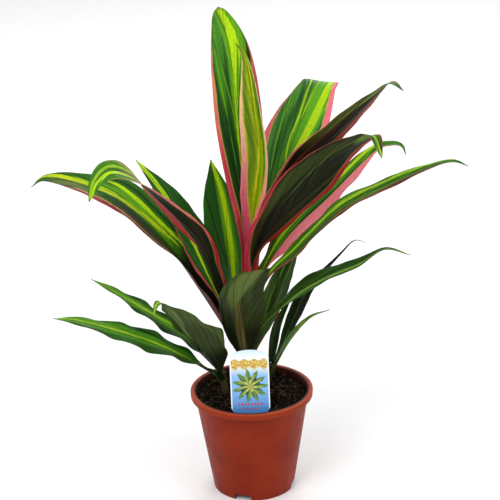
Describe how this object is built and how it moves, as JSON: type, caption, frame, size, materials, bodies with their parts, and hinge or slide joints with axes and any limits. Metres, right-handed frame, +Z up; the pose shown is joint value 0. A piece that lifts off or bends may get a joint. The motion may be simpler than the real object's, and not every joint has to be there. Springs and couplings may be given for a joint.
{
  "type": "potted plant",
  "caption": "Young cordyline with broad arching leaves, striped green and lime with pink margins, rooted in soil in a tapered plastic nursery pot, with an upright plant label.",
  "frame": {"origin": "middle of the pot's foot, on the surface that the pot stands on", "axes": "+Z up along the canes; -Y towards the viewer, the side that the label faces; +X to the viewer's right"},
  "size_m": [0.4075, 0.2639, 0.4742],
  "materials": {
    "pot": "thin terracotta-coloured polypropylene, satin",
    "soil": "dark peat potting soil with fibres and roots",
    "cane": "ringed green-brown cane",
    "leaf": "leathery leaf, dark green with lime stripes and pink margins, satin gloss",
    "label": null
  },
  "bodies": {
    "root": {"pot": "pot", "soil": "soil", "cane_main": "cane", "cane_left": "cane", "cane_right": "cane", "leaf_tall": "leaf", "leaf_young": "leaf", "leaf_broad_back": "leaf", "leaf_upper_right": "leaf", "leaf_dark_right": "leaf", "leaf_pink_right": "leaf", "leaf_long_right": "leaf", "leaf_back_right": "leaf", "leaf_front": "leaf", "leaf_long_left": "leaf", "leaf_dark_left": "leaf", "leaf_behind_left": "leaf", "leaf_short_back": "leaf", "leaf_low_right": "leaf", "leaf_left_top": "leaf", "leaf_left_front": "leaf", "leaf_left_low": "leaf", "leaf_rear_right": "leaf", "leaf_inner_right": "leaf", "leaf_pale_right": "leaf", "label": "label"}
  },
  "joints": []
}
